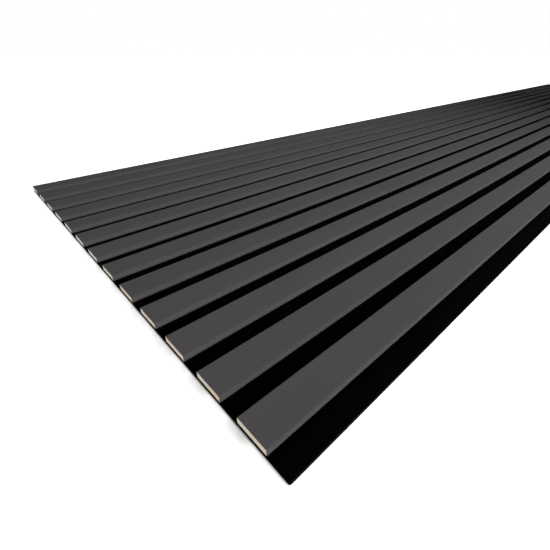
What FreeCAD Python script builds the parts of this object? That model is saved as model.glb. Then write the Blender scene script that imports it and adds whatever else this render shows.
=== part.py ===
import FreeCAD, Part
import os

# Acoustic slat wall panel: thirteen slats of fibreboard, each wrapped in a charcoal foil,
# fixed side by side on one sheet of black felt.
# The panel lies on its back. X runs along the slats, Y across them, and Z up through the
# thickness. The origin is the middle of the felt's back face. Every value is in millimetres.

# Slats
panel_length = 2800.0
slat_count = 13
slat_width = 27.0
slat_gap = 18.0
core_thickness = 5.7
foil_thickness = 0.3
arris_radius = 0.9

# Felt sheet, with a bare strip beside the first slat where the next panel's edge closes the row
felt_thickness = 3.0
felt_margin = 18.0
felt_corner_radius = 2.5

# Staples, driven from the back through the felt into each slat
staple_rows = 6
staple_end_distance = 80.0
staple_crown = 12.8
staple_bite = 3.3
staple_wire_width = 0.95
staple_wire_thickness = 0.65
staple_recess = 0.3
staple_point_length = 0.5

# Worked out from the values above
slat_thickness = core_thickness + foil_thickness
slat_pitch = slat_width + slat_gap
slat_field_width = slat_count * slat_width + (slat_count - 1) * slat_gap
panel_width = felt_margin + slat_field_width
felt_edge_y = -panel_width / 2
staple_spacing = (panel_length - 2 * staple_end_distance) / (staple_rows - 1)
staple_tip = felt_thickness + staple_bite


def point(x, y, z):
    return FreeCAD.Vector(x, y, z)


def prism_along_length(outline):
    """A closed outline in the YZ plane at the near end, drawn out to the panel's length."""
    return Part.Face(outline).extrude(point(panel_length, 0, 0))


def slat_middle_y(index):
    """The middle line of a slat, counted from the bare strip of felt."""
    return felt_edge_y + felt_margin + slat_width / 2 + index * slat_pitch


def slat_outline(middle_y, width, thickness, radius):
    """Section of a slat: flat underneath, square at the felt, rounded at both upper arrises."""
    near_end = -panel_length / 2
    bottom = felt_thickness
    top = felt_thickness + thickness
    left = middle_y + width / 2
    right = middle_y - width / 2
    bevel = radius * (1 - 0.5 ** 0.5)

    def at(y, z):
        return point(near_end, y, z)

    return Part.Wire([
        Part.makeLine(at(right, bottom), at(left, bottom)),
        Part.makeLine(at(left, bottom), at(left, top - radius)),
        Part.Arc(at(left, top - radius), at(left - bevel, top - bevel), at(left - radius, top)).toShape(),
        Part.makeLine(at(left - radius, top), at(right + radius, top)),
        Part.Arc(at(right + radius, top), at(right + bevel, top - bevel), at(right, top - radius)).toShape(),
        Part.makeLine(at(right, top - radius), at(right, bottom)),
    ])


def core_blank(index):
    """The fibreboard strip inside the foil, before the staples go in."""
    width = slat_width - 2 * foil_thickness
    radius = arris_radius - foil_thickness
    return prism_along_length(slat_outline(slat_middle_y(index), width, core_thickness, radius))


def slat_foil(index):
    """Foil folded over the top and both long sides, open underneath and at both ends."""
    outline = slat_outline(slat_middle_y(index), slat_width, slat_thickness, arris_radius)
    return prism_along_length(outline).cut(core_blank(index))


def staple_shape(middle_x, middle_y, crown_back):
    """A staple lying across a slat: a flat crown, and two legs with points ground on their outer sides.

    crown_back is the height of the crown's outer face above the back of the felt: the recess for
    the staple itself, and nothing for the slit that it leaves open behind it.
    """
    outer = staple_crown / 2
    inner = outer - staple_wire_thickness
    crown_front = staple_recess + staple_wire_thickness
    shoulder = staple_tip - staple_point_length
    edge_x = middle_x - staple_wire_width / 2
    corners = [
        (-outer, crown_back), (outer, crown_back), (outer, shoulder), (inner, staple_tip),
        (inner, crown_front), (-inner, crown_front), (-inner, staple_tip), (-outer, shoulder),
    ]
    points = [point(edge_x, middle_y + across, height) for across, height in corners]
    return Part.Face(Part.makePolygon(points + points[:1])).extrude(point(staple_wire_width, 0, 0))


def staples_of_slat(index, crown_back):
    """The row of staples, or of their slits, that holds one slat."""
    first_x = -panel_length / 2 + staple_end_distance
    return [
        staple_shape(first_x + row * staple_spacing, slat_middle_y(index), crown_back)
        for row in range(staple_rows)
    ]


def slat_core(index):
    """The fibreboard strip, with a slit where each staple's legs went in."""
    return core_blank(index).cut(Part.makeCompound(staples_of_slat(index, staple_recess)))


def felt_sheet():
    """One flat sheet, square at the last slat and eased at the two corners of its bare strip."""
    sheet = Part.makeBox(
        panel_length, panel_width, felt_thickness, point(-panel_length / 2, felt_edge_y, 0)
    )
    bare_corners = [
        edge for edge in sheet.Edges
        if edge.BoundBox.ZLength > felt_thickness / 2 and edge.CenterOfMass.y < 0
    ]
    return sheet.makeFillet(felt_corner_radius, bare_corners)


def felt_backing():
    """The felt with the slits that the staples opened on their way through."""
    slits = []
    for index in range(slat_count):
        slits += staples_of_slat(index, 0)
    return felt_sheet().cut(Part.makeCompound(slits))


def staples():
    """Every staple of the panel, as separate solids."""
    group = []
    for index in range(slat_count):
        group += staples_of_slat(index, staple_recess)
    return Part.makeCompound(group)


def write(node, shape):
    shape.exportStep("parts/" + node + ".step")


os.makedirs("parts", exist_ok=True)
write("felt_backing", felt_backing())
write("staples", staples())
for slat in range(slat_count):
    write("slat_core_%02d" % (slat + 1), slat_core(slat))
    write("slat_foil_%02d" % (slat + 1), slat_foil(slat))
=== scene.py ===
import math

import bpy
import numpy as np
from mathutils import Matrix, Vector, noise


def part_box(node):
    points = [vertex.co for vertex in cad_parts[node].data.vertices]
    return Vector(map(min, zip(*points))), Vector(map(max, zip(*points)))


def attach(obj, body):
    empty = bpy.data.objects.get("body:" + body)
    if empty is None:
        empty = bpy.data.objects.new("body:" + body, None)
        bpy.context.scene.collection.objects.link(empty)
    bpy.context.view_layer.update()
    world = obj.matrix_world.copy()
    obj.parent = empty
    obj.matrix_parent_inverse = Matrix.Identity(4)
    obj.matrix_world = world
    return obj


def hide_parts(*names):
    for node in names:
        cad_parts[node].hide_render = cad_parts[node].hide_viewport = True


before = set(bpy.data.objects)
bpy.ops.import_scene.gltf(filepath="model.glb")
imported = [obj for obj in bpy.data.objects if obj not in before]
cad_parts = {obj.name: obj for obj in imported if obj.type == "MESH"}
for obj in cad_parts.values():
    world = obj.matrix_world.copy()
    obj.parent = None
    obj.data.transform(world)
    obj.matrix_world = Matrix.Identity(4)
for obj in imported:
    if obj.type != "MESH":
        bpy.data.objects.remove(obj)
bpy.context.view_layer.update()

# Acoustic slat wall panel, lying on its back: foil-wrapped fibreboard slats on black felt.
# X runs along the slats, Y across them and Z up. Everything is in metres.

MM = 0.001
SEED = 27

# The panel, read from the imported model
felt_low, felt_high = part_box("felt_backing")
first_foil_low, first_foil_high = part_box("slat_foil_01")
second_foil_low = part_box("slat_foil_02")[0]
core_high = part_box("slat_core_01")[1]
slat_count = sum(name.startswith("slat_foil_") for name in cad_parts)
slat_width = first_foil_high.y - first_foil_low.y
slat_pitch = second_foil_low.y - first_foil_low.y
slat_gap = slat_pitch - slat_width
first_slat_y = first_foil_low.y
slat_bottom = first_foil_low.z
slat_top = first_foil_high.z
near_x, far_x = felt_low.x, felt_high.x

# Parts of a pattern's values, which lie mostly near 0.5, and the fall from 1 to 0
WHOLE = (0.0, 1.0)
WIDE = (0.25, 0.75)
MIDDLE = (0.3, 0.7)
FALLING = (1.0, 0.0)


# Making objects

def add_object(name, data):
    made = bpy.data.objects.new(name, data)
    bpy.context.scene.collection.objects.link(made)
    return made


def add_mesh(name, points, faces):
    mesh = bpy.data.meshes.new(name)
    mesh.from_pydata(points, [], faces)
    return add_object(name, mesh)


def dress(piece, material):
    piece.data.materials.clear()
    piece.data.materials.append(material)


# Node helpers

class Tree:
    """A material's nodes. Most of its methods add nodes and return the output to use next."""

    def __init__(self, name):
        self.material = bpy.data.materials.new(name)
        self.material.use_nodes = True
        self.tree = self.material.node_tree
        self.tree.nodes.clear()
        self.output = self.tree.nodes.new("ShaderNodeOutputMaterial")

    def feed(self, socket, value):
        """Links an output to the socket, or sets the socket to a plain value."""
        if isinstance(value, bpy.types.NodeSocket):
            self.tree.links.new(value, socket)
        else:
            socket.default_value = value

    def math(self, operation, *values):
        node = self.tree.nodes.new("ShaderNodeMath")
        node.operation = operation
        for socket, value in zip(node.inputs, values):
            self.feed(socket, value)
        return node.outputs[0]

    def product(self, first, *others):
        for factor in others:
            first = self.math("MULTIPLY", first, factor)
        return first

    def place(self):
        """The point's place in the panel, which is also its place in its own object."""
        return self.tree.nodes.new("ShaderNodeTexCoord").outputs["Object"]

    def parts_of(self, vector):
        node = self.tree.nodes.new("ShaderNodeSeparateXYZ")
        self.feed(node.inputs[0], vector)
        return node.outputs

    def join(self, x, y, z):
        node = self.tree.nodes.new("ShaderNodeCombineXYZ")
        for socket, value in zip(node.inputs, (x, y, z)):
            self.feed(socket, value)
        return node.outputs[0]

    def stretch(self, vector, scale):
        node = self.tree.nodes.new("ShaderNodeVectorMath")
        node.operation = "MULTIPLY"
        self.feed(node.inputs[0], vector)
        node.inputs[1].default_value = scale
        return node.outputs[0]

    def noise(self, vector, scale=1.0, detail=3.0, rough=0.5, distortion=0.0):
        node = self.tree.nodes.new("ShaderNodeTexNoise")
        self.feed(node.inputs["Vector"], vector)
        node.inputs["Scale"].default_value = scale
        node.inputs["Detail"].default_value = detail
        node.inputs["Roughness"].default_value = rough
        node.inputs["Distortion"].default_value = distortion
        return node.outputs["Fac"]

    def bands_across(self, vector, scale, distortion, detail, detail_scale):
        """Wavy bands that follow each other along Y."""
        node = self.tree.nodes.new("ShaderNodeTexWave")
        node.wave_type = "BANDS"
        node.bands_direction = "Y"
        self.feed(node.inputs["Vector"], vector)
        node.inputs["Scale"].default_value = scale
        node.inputs["Distortion"].default_value = distortion
        node.inputs["Detail"].default_value = detail
        node.inputs["Detail Scale"].default_value = detail_scale
        return node.outputs["Fac"]

    def white_noise(self, value):
        """A random number that is the same wherever the value is."""
        node = self.tree.nodes.new("ShaderNodeTexWhiteNoise")
        node.noise_dimensions = "1D"
        self.feed(node.inputs["W"], value)
        return node.outputs["Value"]

    def spread(self, value, part, result, smooth=False):
        """Maps part, a pair of values, to result, another pair, and holds both ends."""
        node = self.tree.nodes.new("ShaderNodeMapRange")
        node.interpolation_type = "SMOOTHSTEP" if smooth else "LINEAR"
        self.feed(node.inputs["Value"], value)
        for name, number in zip(("From Min", "From Max", "To Min", "To Max"), (*part, *result)):
            node.inputs[name].default_value = number
        return node.outputs["Result"]

    def mix(self, factor, a, b):
        node = self.tree.nodes.new("ShaderNodeMix")
        node.data_type = "RGBA"
        node.clamp_factor = True
        self.feed(node.inputs["Factor"], factor)
        self.feed(node.inputs["A"], a)
        self.feed(node.inputs["B"], b)
        return node.outputs["Result"]

    def shade(self, colour, factor):
        """The colour times a grey factor."""
        node = self.tree.nodes.new("ShaderNodeMix")
        node.data_type = "RGBA"
        node.blend_type = "MULTIPLY"
        node.inputs["Factor"].default_value = 1.0
        self.feed(node.inputs["A"], colour)
        grey = self.tree.nodes.new("ShaderNodeCombineColor")
        for socket in grey.inputs[:3]:
            self.feed(socket, factor)
        self.feed(node.inputs["B"], grey.outputs[0])
        return node.outputs["Result"]

    def bump(self, height, distance, normal=None):
        node = self.tree.nodes.new("ShaderNodeBump")
        node.inputs["Distance"].default_value = distance
        node.inputs["Strength"].default_value = 1.0
        self.feed(node.inputs["Height"], height)
        if normal is not None:
            self.feed(node.inputs["Normal"], normal)
        return node.outputs["Normal"]

    def surface(self, **sockets):
        """The finished material. Names have underscores for spaces."""
        node = self.tree.nodes.new("ShaderNodeBsdfPrincipled")
        for name, value in sockets.items():
            self.feed(node.inputs[name.replace("_", " ")], value)
        self.tree.links.new(node.outputs[0], self.output.inputs["Surface"])
        return self.material


def across_slat(t, y):
    """(number of the slat, distance from its edge that faces -Y), for any point on the panel."""
    half_gap = slat_gap / 2
    cell = t.math("DIVIDE", t.math("SUBTRACT", y, first_slat_y - half_gap), slat_pitch)
    number = t.math("FLOOR", cell)
    return number, t.math("SUBTRACT", t.product(t.math("FRACT", cell), slat_pitch), half_gap)


# Materials. A grain is how many cells of a pattern lie in a metre, along X, Y and Z or in every direction.

def foil_material():
    """Matte charcoal decor foil: faint lengthways pores, cloudy tone and pale nicks, with painted shade on
    the arrises and at the foot of each side, and painted light on the lower side.
    """
    charcoal = (0.0682, 0.0677, 0.0680, 1.0)
    green_charcoal = (0.0677, 0.0682, 0.0679, 1.0)
    red_charcoal = (0.0720, 0.0667, 0.0681, 1.0)
    red_along = (near_x + 0.05, near_x + 0.16)      # where the red tone fades out, in X
    red_across = (-0.13, -0.03)                     # and in Y
    most_shift = 7.0                                # of a slat's pattern along X
    pore_grain = (70.0, 1500.0, 1500.0)
    cloud_grain = (5.0, 30.0, 30.0)
    nick_grain = (420.0, 900.0, 900.0)
    speck_grain = 2600.0
    arris_reach = (0.45 * MM, 1.15 * MM)            # distance from the arris, inwards and down together
    nick_reach = (0.6 * MM, 1.8 * MM)
    nick_part = (0.64, 0.72)
    foot_top, side_top = 1.5 * MM, 5.2 * MM         # heights on the slat's side, for the painted shade at its foot and the painted light above it
    slat_tones, cloud_tones, pore_tones = (0.98, 1.02), (0.95, 1.05), (0.955, 1.03)
    # painted shade makes the arrises darker, against the highlight of their round
    arris_shade_tones, nick_tones = (1.0, 0.81), (1.0, 1.3)
    # painted shade at the foot of each side; painted light lower on the side, a little darker higher up and
    # on the top
    foot_shade_tones, side_light_tones = (0.35, 1.0), (1.09, 0.945)
    pore_depth, speck_depth = 0.035 * MM, 0.02 * MM
    roughness = (0.95, 0.88)                        # in the pores, and between them

    t = Tree("charcoal_foil")
    x, y, z = t.parts_of(t.place())[:3]
    number, across = across_slat(t, y)
    own = t.white_noise(number)
    shifted = t.join(t.math("MULTIPLY_ADD", own, most_shift, x), y, z)

    pores = t.noise(t.stretch(shifted, pore_grain), detail=4.0, rough=0.6)
    cloud = t.noise(t.stretch(shifted, cloud_grain), detail=4.0, rough=0.55)
    speck = t.noise(shifted, scale=speck_grain, detail=2.0)
    nick = t.noise(t.stretch(shifted, nick_grain), detail=1.0)

    to_side = t.math("MINIMUM", across, t.math("SUBTRACT", slat_width, across))
    to_arris = t.math("ADD", to_side, t.math("SUBTRACT", slat_top, z))
    # painted shade along the arrises
    arris_shade = t.spread(to_arris, arris_reach, FALLING, smooth=True)
    nicks = t.product(t.spread(nick, nick_part, WHOLE), t.spread(to_arris, nick_reach, FALLING))
    height = t.math("SUBTRACT", z, slat_bottom)
    # painted shade at the foot of the side, next to the felt
    foot_shade = t.spread(height, (0.0, foot_top), foot_shade_tones, smooth=True)
    # painted light: the lower side lighter, the upper side and the top slightly darker
    side = t.spread(height, (foot_top, side_top), side_light_tones)

    tone = t.product(
        t.spread(own, WHOLE, slat_tones),
        t.spread(cloud, WIDE, cloud_tones),
        t.spread(pores, MIDDLE, pore_tones),
        t.spread(arris_shade, WHOLE, arris_shade_tones),
        t.spread(nicks, WHOLE, nick_tones),
        t.product(foot_shade, side),
    )
    red = t.product(
        t.spread(x, red_along, FALLING, smooth=True),
        t.spread(y, red_across, FALLING, smooth=True),
    )
    base = t.mix(red, t.mix(cloud, charcoal, green_charcoal), red_charcoal)
    return t.surface(
        Base_Color=t.shade(base, tone),
        Roughness=t.spread(pores, MIDDLE, roughness),
        Specular_IOR_Level=0.01,
        Normal=t.bump(speck, speck_depth, normal=t.bump(pores, pore_depth)),
    )


def board_material():
    """Raw fibreboard end: pressed fibres in flat layers, a darker skin above and below, saw marks, and
    painted shade at its foot.
    """
    red_tan = (0.655, 0.508, 0.39, 1.0)
    green_tan = (0.60, 0.565, 0.45, 1.0)
    pale_tan = (0.685, 0.645, 0.60, 1.0)
    fleck_brown = (0.27, 0.17, 0.10, 1.0)
    pale_across = (-0.08, 0.08)                     # where the pale tan takes over, in Y
    most_shift = 3.0                                # of a slat's pattern along Y
    fibre_grain = (900.0, 700.0, 2600.0)
    fleck_grain = (1500.0, 1200.0, 3200.0)
    patch_grain = (60.0, 95.0, 60.0)
    saw_scale = 190.0                               # puts the saw marks about 1.7 mm apart
    patch_part, fleck_part = (0.38, 0.62), (0.60, 0.74)
    fleck_share = (0.0, 0.55)
    skin_reach = (0.2 * MM, 1.0 * MM)               # distance from the face of the board
    foot_shade_reach = (0.0, 1.3 * MM)                    # height above the felt, of the painted shade at the foot
    fibre_tones, skin_tones = (0.86, 1.12), (1.0, 0.93)
    foot_shade_tones, saw_tones = (0.12, 1.0), (0.96, 1.03)
    saw_depth, fibre_depth = 0.06 * MM, 0.12 * MM
    roughness = (0.92, 0.8)

    t = Tree("raw_fibreboard")
    x, y, z = t.parts_of(t.place())[:3]
    own = t.white_noise(across_slat(t, y)[0])
    shifted = t.join(x, t.math("MULTIPLY_ADD", own, most_shift, y), z)

    fibres = t.noise(t.stretch(shifted, fibre_grain), detail=5.0, rough=0.65)
    flecks = t.noise(t.stretch(shifted, fleck_grain), detail=3.0, rough=0.7)
    patch = t.noise(t.stretch(shifted, patch_grain), detail=2.0)
    saw = t.bands_across(shifted, scale=saw_scale, distortion=1.6, detail=3.0, detail_scale=4.0)

    height = t.math("SUBTRACT", z, slat_bottom)
    depth = t.math("MINIMUM", height, t.math("SUBTRACT", core_high.z - slat_bottom, height))
    skin = t.spread(depth, skin_reach, FALLING, smooth=True)

    base = t.mix(t.spread(patch, patch_part, WHOLE, smooth=True), red_tan, green_tan)
    base = t.mix(t.spread(y, pale_across, WHOLE, smooth=True), base, pale_tan)
    base = t.mix(t.spread(flecks, fleck_part, fleck_share), base, fleck_brown)
    tone = t.product(
        t.spread(fibres, WIDE, fibre_tones),
        t.spread(skin, WHOLE, skin_tones),
        # painted shade at the foot, next to the felt
        t.spread(height, foot_shade_reach, foot_shade_tones, smooth=True),
        t.spread(saw, WHOLE, saw_tones),
    )
    return t.surface(
        Base_Color=t.shade(base, tone),
        Roughness=t.spread(fibres, MIDDLE, roughness),
        Specular_IOR_Level=0.05,
        Normal=t.bump(fibres, fibre_depth, normal=t.bump(saw, saw_depth)),
    )


def felt_material():
    """Needled polyester felt: matted fibres that run mostly along the sheet, with needle marks, painted shade
    in the grooves and a painted sheen on the cut edge.
    """
    felt_black = (0.00068, 0.00042, 0.00048, 1.0)
    # a painted sheen lightens the cut edge
    cut_edge_sheen_grey = (0.009, 0.009, 0.0095, 1.0)
    long_grain = (420.0, 2400.0, 2400.0)
    cross_grain = (2600.0, 500.0, 2600.0)
    cloud_grain = 45.0
    needle_grain = 750.0
    matted_part, needle_part, dimple_part = (0.42, 0.72), (0.28, 0.40), (0.28, 0.45)
    matted_tones, cloud_tones, needle_tones = (0.5, 2.0), (0.85, 1.15), (0.5, 1.0)
    strip_across = (first_slat_y - slat_gap / 2, first_slat_y)
    groove_shade_tones = (2.0, 1.0)                        # painted shade: the grooves are half as light as the bare strip
    cut_sheen_across = (felt_low.y - 0.24 * MM, felt_low.y - 0.05 * MM)      # where the cut edge and its painted sheen begin, in Y
    pile_depth, needle_depth = 0.35 * MM, 0.3 * MM
    rough_part, roughness = (0.4, 0.7), (1.0, 0.85)

    t = Tree("black_felt")
    place = t.place()
    y = t.parts_of(place)[1]
    long_fibres = t.noise(t.stretch(place, long_grain), detail=4.0, rough=0.7, distortion=0.8)
    cross_fibres = t.noise(t.stretch(place, cross_grain), detail=4.0, rough=0.7, distortion=0.8)
    matted = t.math("MAXIMUM", long_fibres, cross_fibres)
    cloud = t.noise(place, scale=cloud_grain, detail=3.0)
    needles = t.noise(place, scale=needle_grain, detail=1.0)

    tone = t.product(
        t.spread(matted, matted_part, matted_tones),
        t.spread(cloud, MIDDLE, cloud_tones),
        t.spread(needles, needle_part, needle_tones, smooth=True),
        # painted shade: the grooves darker than the bare strip
        t.spread(y, strip_across, groove_shade_tones),
    )
    dimples = t.spread(needles, dimple_part, WHOLE, smooth=True)
    return t.surface(
        # painted sheen: the cut edge is lighter than the face
        Base_Color=t.mix(t.spread(y, cut_sheen_across, FALLING), t.shade(felt_black, tone), cut_edge_sheen_grey),
        Roughness=t.spread(matted, rough_part, roughness),
        Specular_IOR_Level=0.0,
        Sheen_Weight=0.006,
        Sheen_Roughness=0.35,
        Normal=t.bump(dimples, needle_depth, normal=t.bump(matted, pile_depth)),
    )


def wire_material():
    """Galvanised staple wire: dull zinc with drawing lines and small spangles."""
    zinc = (0.56, 0.57, 0.58, 1.0)
    line_grain = (5200.0, 300.0, 300.0)
    spangle_grain = 900.0
    line_tones, spangle_tones = (0.85, 1.1), (0.88, 1.08)
    line_depth = 0.02 * MM
    roughness = (0.3, 0.48)

    t = Tree("galvanised_wire")
    place = t.place()
    lines = t.noise(t.stretch(place, line_grain), detail=3.0)
    spangle = t.noise(place, scale=spangle_grain, detail=2.0)
    tone = t.product(t.spread(lines, MIDDLE, line_tones), t.spread(spangle, MIDDLE, spangle_tones))
    return t.surface(
        Base_Color=t.shade(zinc, tone),
        Metallic=1.0,
        Roughness=t.spread(lines, MIDDLE, roughness),
        Normal=t.bump(lines, line_depth),
    )


# The felt backing: one sheet with a needled face, a knife-cut edge and a dimple at each staple's crown

groove_step = 3.0 * MM            # between mesh lines across a groove
near_step, far_step = 2.2 * MM, 10.0 * MM      # and along the sheet, at its two ends
back_step = 12.0 * MM             # and on the back
line_merge = 0.05 * MM            # mesh lines nearer to each other than this are one
corner_radius = 1.6 * MM          # of the two corners of the bare strip
corner_shares = (0.0, 0.3, 0.62, 1.0)          # where mesh lines lie in the round of a corner
edge_wander = 0.06 * MM           # how unevenly the knife cut
cut_x = near_x - 0.06 * MM        # the felt was cut a little proud of the slats' near ends
cut_y = felt_low.y - 0.3 * MM     # and of its nominal width
pile_sink = 0.14 * MM             # mean depth of the needled face below the slats' seats
pile_relief = 0.16 * MM
pit_share = 0.8                   # of the relief, for the small pits
back_share = 0.5                  # of the face's sink and relief that the back has
seat_margin = 0.01 * MM           # how far past a slat's side the face is still level
seat_fade = 3.0 * MM              # how far from a slat the face comes down to its depth
back_fade = 6.0 * MM              # how far from the cut edge the back is pressed flat
dimple_depth = 1.0 * MM           # where a staple pulls the back in around its crown
dimple_flank = 1.6 * MM
crown_eases = (0.1 * MM, 0.4 * dimple_flank, dimple_flank)     # from a crown to the mesh lines beside it
face_inset, back_inset = 0.25 * MM, 0.03 * MM   # where the cut edge rounds into the face and the back
felt_rims = ((0.06 * MM, 0.3 * MM), (0.0, 1.5 * MM), (0.0, 2.8 * MM))   # (inset, depth) of the edge's rings

# Uneven surfaces: (waves in a metre along X, along Y, layer of the noise)
face_swells = (60, 110, 3.1)
face_pits = (170, 200, 7.7)
back_swells = (25, 25, 1.3)
edge_waves = (130, 130, 5.0)

full_turn = 4.0                   # places round the rim of the sheet are counted in sides
same_turn = 1e-9                  # places that differ by less are one


def unevenness(x, y, waves):
    """A smooth random value, about -1 to 1, at a place on the sheet."""
    along, across, layer = waves
    return noise.noise(Vector((x * along, y * across, layer)))


def middles(values, apart):
    """Middle of each group of values, where groups are more than apart from each other."""
    values = np.sort(values)
    groups = np.split(values, np.where(np.diff(values) > apart)[0] + 1)
    return [float(group[0] + group[-1]) / 2 for group in groups]


staple_points = np.array([vertex.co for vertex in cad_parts["staples"].data.vertices])
staple_xs = middles(staple_points[:, 0], slat_width)
staple_ys = middles(staple_points[:, 1], slat_width)
crown_half = staple_points[:, 1].max() - staple_ys[-1]
wire_half = staple_points[:, 0].max() - staple_xs[-1]


def even_lines(start, stop, step):
    """Lines about step apart, from start to stop, both included."""
    count = max(1, round((stop - start) / step))
    return [start + (stop - start) * i / count for i in range(count + 1)]


def graded_lines(start, stop, first_step, last_step):
    """Lines whose spacing grows evenly from first_step to last_step."""
    growth = math.log(last_step / first_step)
    count = round((stop - start) * growth / (last_step - first_step))
    reach = math.exp(growth) - 1
    return [start + (stop - start) * (math.exp(growth * i / count) - 1) / reach for i in range(count + 1)]


def corner_lines(low, high):
    """Close lines beside both cut edges, where the rounded corners lie."""
    steps = [share * corner_radius for share in corner_shares]
    return [low + step for step in steps], [high - step for step in reversed(steps)]


def merged(*groups):
    """All the lines in order, without doubles."""
    lines = []
    for value in sorted(value for group in groups for value in group):
        if not lines or value - lines[-1] > line_merge:
            lines.append(value)
    return lines


def front_lines():
    """The face's mesh lines, along the sheet and across it."""
    near_corner, far_corner = corner_lines(cut_x, far_x)
    along = merged(near_corner, far_corner, graded_lines(near_corner[-1], far_corner[0], near_step, far_step))
    bare_corner = corner_lines(cut_y, felt_high.y)[0]
    across = merged(bare_corner, even_lines(bare_corner[-1], first_slat_y, groove_step))
    for i in range(1, slat_count):
        groove_end = first_slat_y + slat_pitch * i
        across = merged(across, even_lines(groove_end - slat_gap, groove_end, groove_step))
    return along, across + [felt_high.y]


def back_lines_between(low, high, places, half):
    """Lines on the back along one direction: close ones beside each staple's crown, wide ones between."""
    close = [place + side * (half + ease) for place in places for side in (-1, 1) for ease in crown_eases]
    close = merged(close, places, *corner_lines(low, high))
    lines = []
    for a, b in zip(close, close[1:]):
        lines += even_lines(a, b, back_step)
    return merged(lines)


def face_height(x, y):
    """Height of the face: level under the slats, sunk and uneven in the grooves and the bare strip."""
    across = (y - first_slat_y) % slat_pitch
    to_next = slat_pitch - across
    to_last = across - slat_width if y > first_slat_y else to_next
    to_slat = min(to_last, to_next)
    if to_slat <= seat_margin or across <= slat_width and y > first_slat_y:
        return felt_high.z
    relief = unevenness(x, y, face_swells) + pit_share * unevenness(x, y, face_pits)
    depth = pile_sink + pile_relief * relief
    return felt_high.z - min(1.0, to_slat / seat_fade) * max(0.0, depth)


def back_height(x, y):
    """Height of the back: nearly flat, and drawn in around the crown of each staple."""
    to_edge = min(x - near_x, far_x - x, y - felt_low.y, felt_high.y - y)
    height = back_share * pile_sink + back_share * pile_relief * unevenness(x, y, back_swells)
    height = max(0.0, height * min(1.0, to_edge / back_fade))
    beyond_x = max(0.0, min(abs(x - place) for place in staple_xs) - wire_half)
    beyond_y = max(0.0, min(abs(y - place) for place in staple_ys) - crown_half)
    away = min(1.0, math.hypot(beyond_x, beyond_y) / dimple_flank)
    pull = 1 - away * away * (3 - 2 * away)
    return height * (1 - pull) + dimple_depth * pull


def eased(x, y, inset):
    """A point of the sheet held inside the cut edge, and inside the round of the two bare corners."""
    inset += edge_wander * max(0.0, unevenness(x, y, edge_waves))
    x = min(max(x, cut_x + inset), far_x - inset)
    y = min(max(y, cut_y + inset), felt_high.y - inset)
    middle_x = min(max(x, cut_x + corner_radius), far_x - corner_radius)
    middle_y = cut_y + corner_radius
    out_x, out_y = x - middle_x, y - middle_y
    if out_x and out_y < 0:
        shrink = max(abs(out_x), -out_y) / math.hypot(out_x, out_y)
        x, y = middle_x + out_x * shrink, middle_y + out_y * shrink
    return x, y


class SheetMesh:
    """Grids of quads and the bands that close them into one skin."""

    def __init__(self):
        self.points = []
        self.faces = []

    def grid(self, xs, ys, height, inset, turned_down):
        """A grid of quads. Returns its rim, anticlockwise from above, as (place round it, x, y, index)."""
        first, rows = len(self.points), len(ys)
        for x in xs:
            for y in ys:
                self.points.append((*eased(x, y, inset), height(x, y)))
        for i in range(len(xs) - 1):
            for j in range(rows - 1):
                corner = first + i * rows + j
                quad = (corner, corner + rows, corner + rows + 1, corner + 1)
                self.faces.append(quad[::-1] if turned_down else quad)
        last_i, last_j = len(xs) - 1, rows - 1
        walk = [(i, 0) for i in range(last_i)] + [(last_i, j) for j in range(last_j)]
        walk += [(i, last_j) for i in range(last_i, 0, -1)] + [(0, j) for j in range(last_j, 0, -1)]
        rim = []
        for i, j in walk:
            share_x = (xs[i] - xs[0]) / (xs[-1] - xs[0])
            share_y = (ys[j] - ys[0]) / (ys[-1] - ys[0])
            if j == 0 and i < last_i:
                turn = share_x
            elif i == last_i and j < last_j:
                turn = 1 + share_y
            elif j == last_j and i:
                turn = 3 - share_x
            else:
                turn = full_turn - share_y
            rim.append((turn, xs[i], ys[j], first + i * rows + j))
        return rim

    def ring(self, rim, inset, z):
        """The same rim again, at another inset and height."""
        copy = []
        for turn, x, y, _ in rim:
            copy.append((turn, x, y, len(self.points)))
            self.points.append((*eased(x, y, inset), z))
        return copy

    def band(self, upper, lower):
        """Closes the gap between two rims, quad by quad where they match and by triangles elsewhere."""
        upper = upper + [(full_turn, *upper[0][1:])]
        lower = lower + [(full_turn, *lower[0][1:])]
        i = j = 0
        while i < len(upper) - 1 or j < len(lower) - 1:
            next_upper = upper[i + 1][0] if i < len(upper) - 1 else math.inf
            next_lower = lower[j + 1][0] if j < len(lower) - 1 else math.inf
            face = [upper[i][3], lower[j][3]]
            if next_lower <= next_upper + same_turn:
                j += 1
                face.append(lower[j][3])
            if next_upper <= next_lower + same_turn:
                i += 1
                face.append(upper[i][3])
            self.faces.append(face)


def make_felt():
    sheet = SheetMesh()
    face_rim = sheet.grid(*front_lines(), face_height, face_inset, turned_down=False)
    back_along = back_lines_between(cut_x, far_x, staple_xs, wire_half)
    back_across = back_lines_between(cut_y, felt_high.y, staple_ys, crown_half)
    back_rim = sheet.grid(back_along, back_across, back_height, back_inset, turned_down=True)
    upper = face_rim
    for inset, depth in felt_rims:
        ring = sheet.ring(face_rim, inset, felt_high.z - depth)
        sheet.band(upper, ring)
        upper = ring
    sheet.band(upper, back_rim)
    piece = add_mesh("felt_sheet", sheet.points, sheet.faces)
    piece.data.shade_smooth()
    return piece


# Loose fibres of the felt

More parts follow.
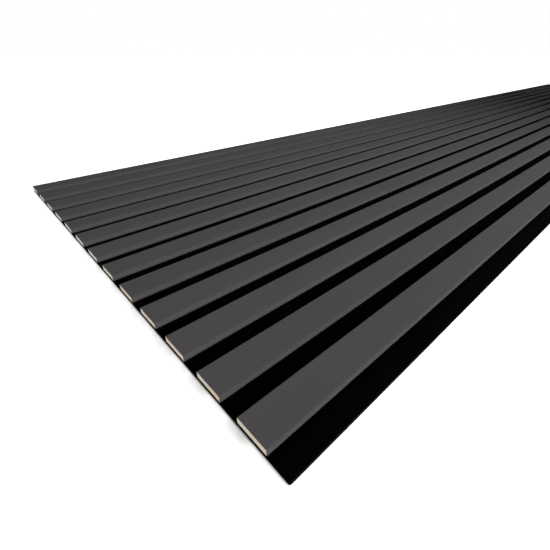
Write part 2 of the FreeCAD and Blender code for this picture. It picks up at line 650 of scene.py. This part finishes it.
face_fibres = 5200
edge_fibres = 2200
near_reach = 0.4                  # half of the fibres on the face lie this close to the near end
fibre_radius = 0.035 * MM
fibre_rings = 4                   # along a fibre
fibre_sides = 3
fibre_taper = 0.7                 # of the radius is gone at the tip
most_curl = 0.35                  # of a fibre's length, sideways
face_lengths = (1.2, 4.2)         # of the fibres on the face, in millimetres
edge_lengths = (0.2, 0.5)         # and on the cut edges
face_arch, edge_arch = 0.30 * MM, 0.1 * MM
face_margin = 0.6 * MM            # between a slat and the nearest root
face_root = 0.05 * MM             # how deep a fibre is rooted in the face
edge_root = 0.3 * MM              # and in a cut edge
edge_heights = (0.5, 2.6)         # of the roots in a cut edge, in millimetres
end_margin = 0.001                # between the sheet's end and the nearest root on the face
corner_margin = 0.003             # and on a cut edge
long_lean = 1.4                   # how much more the fibres on the face lie along the sheet than across
edge_lean = 1.5                   # how much they may lie along a cut edge


def face_fibre(draw, strips, reach):
    """(root, way it leans, length, arch) of a fibre on one of the open strips of the face."""
    x = near_x + end_margin + (reach - 2 * end_margin) * draw.random()
    y = strips[draw.integers(len(strips))] + face_margin + (slat_gap - 2 * face_margin) * draw.random()
    turn = draw.uniform(0, 2 * math.pi)
    lean = Vector((math.cos(turn) * long_lean, math.sin(turn), 0)).normalized()
    root = Vector((x, y, face_height(x, y) - face_root))
    return root, lean, draw.uniform(*face_lengths) * MM, face_arch


def edge_fibre(draw, at_near_end):
    """The same for a fibre that stands out of a cut edge: at the near end, or beside the bare strip."""
    z = draw.uniform(*edge_heights) * MM
    if at_near_end:
        y = draw.uniform(felt_low.y + corner_margin, felt_high.y)
        root = Vector((near_x + edge_root, y, z))
        lean = Vector((-1, draw.uniform(-edge_lean, edge_lean), 0)).normalized()
    else:
        x = draw.uniform(near_x + corner_margin, far_x - corner_margin)
        root = Vector((x, felt_low.y + edge_root, z))
        lean = Vector((draw.uniform(-edge_lean, edge_lean), -1, 0)).normalized()
    return root, lean, draw.uniform(*edge_lengths) * MM, edge_arch


def hair_points(root, lean, length, arch, curl):
    """Rings of points along a thin hair that is arched over its middle and tapered to its tip."""
    side = Vector((-lean.y, lean.x, 0))
    points = []
    for step in range(fibre_rings):
        share = step / (fibre_rings - 1)
        rise = Vector((0, 0, arch * math.sin(math.pi * share)))
        middle = root + lean * (length * share) + side * (curl * share * share) + rise
        radius = fibre_radius * (1 - fibre_taper * share)
        for corner in range(fibre_sides):
            angle = 2 * math.pi * corner / fibre_sides
            out = side * (radius * math.cos(angle))
            points.append(middle + out + Vector((0, 0, radius * math.sin(angle))))
    return points


def hair_faces(first):
    """The skin of a hair whose points start at first: bands of quads, and a face at each end."""
    faces = []
    for step in range(fibre_rings - 1):
        ring = first + fibre_sides * step
        for corner in range(fibre_sides):
            a, b = ring + corner, ring + (corner + 1) % fibre_sides
            faces.append((a, b, b + fibre_sides, a + fibre_sides))
    last = first + fibre_sides * (fibre_rings - 1)
    faces.append(tuple(range(first + fibre_sides - 1, first - 1, -1)))
    faces.append(tuple(range(last, last + fibre_sides)))
    return faces


def make_fibres():
    """All the loose fibres, as one piece."""
    draw = np.random.default_rng(SEED)
    strips = [felt_low.y] + [first_slat_y + slat_pitch * i + slat_width for i in range(slat_count - 1)]
    reaches = (far_x - near_x, near_reach)
    fibres = [face_fibre(draw, strips, reaches[i % 2]) for i in range(face_fibres)]
    fibres += [edge_fibre(draw, i % 2 == 1) for i in range(edge_fibres)]
    points, faces = [], []
    for root, lean, length, arch in fibres:
        curl = draw.uniform(-most_curl, most_curl) * length
        faces += hair_faces(len(points))
        points += hair_points(root, lean, length, arch, curl)
    piece = add_mesh("felt_fibres", points, faces)
    piece.data.shade_smooth()
    return piece


# Camera, placed from the corner of the felt's bare strip that is nearest to it

camera_offset = Vector((-60.85, -56.48, 187.46)) * MM
camera_heading = math.radians(48.031)
camera_dip = math.radians(33.961)
camera_roll = math.radians(-0.043)
camera_clip = (0.01, 100.0)
sensor_mm = 36.0
lens_mm = 21.890


def make_camera():
    forward = Vector((
        math.cos(camera_dip) * math.cos(camera_heading),
        math.cos(camera_dip) * math.sin(camera_heading),
        -math.sin(camera_dip),
    ))
    right = forward.cross(Vector((0, 0, 1))).normalized()
    up = right.cross(forward)
    turned_right = right * math.cos(camera_roll) + up * math.sin(camera_roll)
    turned_up = up * math.cos(camera_roll) - right * math.sin(camera_roll)
    turn = Matrix((turned_right, turned_up, -forward)).transposed()
    near_corner = Vector((near_x, felt_low.y, 0.0))
    data = bpy.data.cameras.new("camera")
    data.sensor_width = sensor_mm
    data.lens = lens_mm
    data.clip_start, data.clip_end = camera_clip
    camera = add_object("camera", data)
    camera.matrix_world = Matrix.Translation(near_corner + camera_offset) @ turn.to_4x4()
    bpy.context.scene.camera = camera


# Floor, light and background

white = (1.0, 1.0, 1.0, 1.0)
floor_grey = (0.8, 0.8, 0.8, 1.0)
floor_half = 30.0
floor_z = -0.03 * MM              # just under the felt's back
soft_strength = 0.10              # of the light that comes from all round
background_strength = 1.0

# Softboxes: name, place, point that it faces, (length, width), watts
softboxes = (
    ("side_softbox", (-0.824, -2.342, 0.694), (-3.947, -0.768, 0.0), (3.537, 0.5), 90.6),
    ("end_softbox", (-3.0, -0.2, 0.45), (-1.4, 0.0, 0.0), (1.0, 0.4), 18.0),
    ("far_softbox", (-0.6, 0.7, 1.4), (-0.6, 0.0, 0.0), (0.8, 0.8), 4.7),
    ("top_softbox", (-1.06, 0.0, 0.59), (-1.06, 0.0, 0.0), (0.8, 0.8), 0.81),
    ("fill_softbox", (1.15, 0.0, 0.5), (1.15, 0.0, 0.0), (0.8, 0.5), 0.7),
)


def background_rays(tree):
    """1 for the rays that show the white background, and 0 for the others.

    They come from the camera, off a gloss or through something clear.
    """
    paths = tree.nodes.new("ShaderNodeLightPath").outputs
    total = paths["Is Camera Ray"]
    for name in ("Is Glossy Ray", "Is Transmission Ray"):
        node = tree.nodes.new("ShaderNodeMath")
        node.operation = "MAXIMUM"
        tree.links.new(total, node.inputs[0])
        tree.links.new(paths[name], node.inputs[1])
        total = node.outputs[0]
    return total


def once_a_slat(t, across, middle, part, result):
    """A value that swells and fades once in each pitch, and is highest at middle."""
    turn = t.product(t.math("SUBTRACT", across, middle), 2 * math.pi / slat_pitch)
    return t.spread(t.math("COSINE", turn), part, result, smooth=True)


def painted_shadow_spots(t, across, y, away):
    """Painted shadow: soft spots on the floor beside the near end of the first slats, strongest at slat 1."""
    middle = slat_width - 3 * MM
    depths_across = (0.33, 0.0)
    last_y = first_slat_y + 0.17
    first_ease = 3 * MM
    reach = (2.0 * MM, 9.0 * MM)
    wave_part = (-0.3, 0.9)
    return t.product(
        once_a_slat(t, across, middle, wave_part, WHOLE),
        t.spread(y, (first_slat_y, last_y), depths_across),
        t.spread(y, (first_slat_y, first_slat_y + first_ease), WHOLE),
        t.spread(away, reach, FALLING, smooth=True),
    )


def painted_shadow_row(t, across, y, away):
    """A shallower painted shadow beside the other slats, deepest beside each groove."""
    middle = slat_width + slat_gap / 2
    depths = (0.09, 0.20)
    start_across = (first_slat_y + 0.05, first_slat_y + 0.14)
    reach = (4.0 * MM, 10.0 * MM)
    wave_part = (-0.3, 0.8)
    return t.product(
        once_a_slat(t, across, middle, wave_part, depths),
        t.spread(y, start_across, WHOLE),
        t.spread(away, reach, FALLING, smooth=True),
    )


def floor_lift(t):
    """How much white the floor adds to the light that falls on it: less where the panel's shadow is painted.
    """
    contact_reach, contact_lift = (0.0, 1.3 * MM), (0.0, 0.63)     # painted contact shadow, only close to the felt
    open_reach, open_lift = (0.02, 0.25), (0.15, 1.0)              # plain white further off
    gain_across = (0.0, 0.22)     # makes up for the light's fading towards +Y

    x, y = t.parts_of(t.place())[:2]
    across = across_slat(t, y)[1]
    from_end = t.math("SUBTRACT", x, near_x)
    from_side = t.math("MAXIMUM", t.math("SUBTRACT", t.math("ABSOLUTE", y), felt_high.y), 0.0)
    away = t.math("SQRT", t.math("ADD", t.product(from_end, from_end), t.product(from_side, from_side)))
    lift = t.math("MAXIMUM", t.spread(away, contact_reach, contact_lift, smooth=True),
                  t.spread(away, open_reach, open_lift, smooth=True))
    for shadow in (painted_shadow_spots, painted_shadow_row):
        lift = t.math("SUBTRACT", lift, shadow(t, across, y, away))
    lift = t.math("MAXIMUM", lift, 0.0)
    return t.math("ADD", lift, t.spread(y, (felt_low.y, felt_high.y), gain_across))


def make_floor():
    """A wide white floor. Beside the near end it shows the panel's shadow, partly cast by the lamps and
    partly painted.
    """
    corners = [(side_x * floor_half, side_y * floor_half, floor_z)
               for side_x, side_y in ((-1, -1), (1, -1), (1, 1), (-1, 1))]
    floor = add_mesh("floor", corners, [(0, 1, 2, 3)])

    t = Tree("white_floor")
    shaded = t.tree.nodes.new("ShaderNodeBsdfDiffuse")
    shaded.inputs["Color"].default_value = floor_grey
    glow = t.tree.nodes.new("ShaderNodeEmission")
    t.feed(glow.inputs["Strength"], t.product(background_rays(t.tree), floor_lift(t)))
    both = t.tree.nodes.new("ShaderNodeAddShader")
    t.tree.links.new(shaded.outputs[0], both.inputs[0])
    t.tree.links.new(glow.outputs[0], both.inputs[1])
    t.tree.links.new(both.outputs[0], t.output.inputs["Surface"])
    dress(floor, t.material)


def make_world():
    """Soft light from all round, and a white background."""
    world = bpy.data.worlds.new("studio")
    world.use_nodes = True
    bpy.context.scene.world = world
    tree = world.node_tree
    tree.nodes.clear()
    output = tree.nodes.new("ShaderNodeOutputWorld")
    pick = tree.nodes.new("ShaderNodeMixShader")
    tree.links.new(background_rays(tree), pick.inputs[0])
    for socket, strength in zip(pick.inputs[1:3], (soft_strength, background_strength)):
        background = tree.nodes.new("ShaderNodeBackground")
        background.inputs["Color"].default_value = white
        background.inputs["Strength"].default_value = strength
        tree.links.new(background.outputs[0], socket)
    tree.links.new(pick.outputs[0], output.inputs["Surface"])


def add_softbox(name, place, target, size, watts):
    data = bpy.data.lights.new(name, "AREA")
    data.shape = "RECTANGLE"
    data.size, data.size_y = size
    data.energy = watts
    lamp = add_object(name, data)
    lamp.location = place
    lamp.rotation_mode = "QUATERNION"
    lamp.rotation_quaternion = (Vector(target) - Vector(place)).to_track_quat("-Z", "Y")


# Putting it all together

foil = foil_material()
board = board_material()
felt_cloth = felt_material()
wire = wire_material()
for name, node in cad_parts.items():
    if name.startswith("slat_foil_"):
        dress(node, foil)
    elif name.startswith("slat_core_"):
        dress(node, board)
    elif name == "staples":
        dress(node, wire)

felt = make_felt()
fibres = make_fibres()
for piece in (felt, fibres):
    dress(piece, felt_cloth)
    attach(piece, "root")
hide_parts("felt_backing")

make_camera()
make_floor()
make_world()
for softbox in softboxes:
    add_softbox(*softbox)

bpy.context.scene.view_settings.view_transform = "Standard"
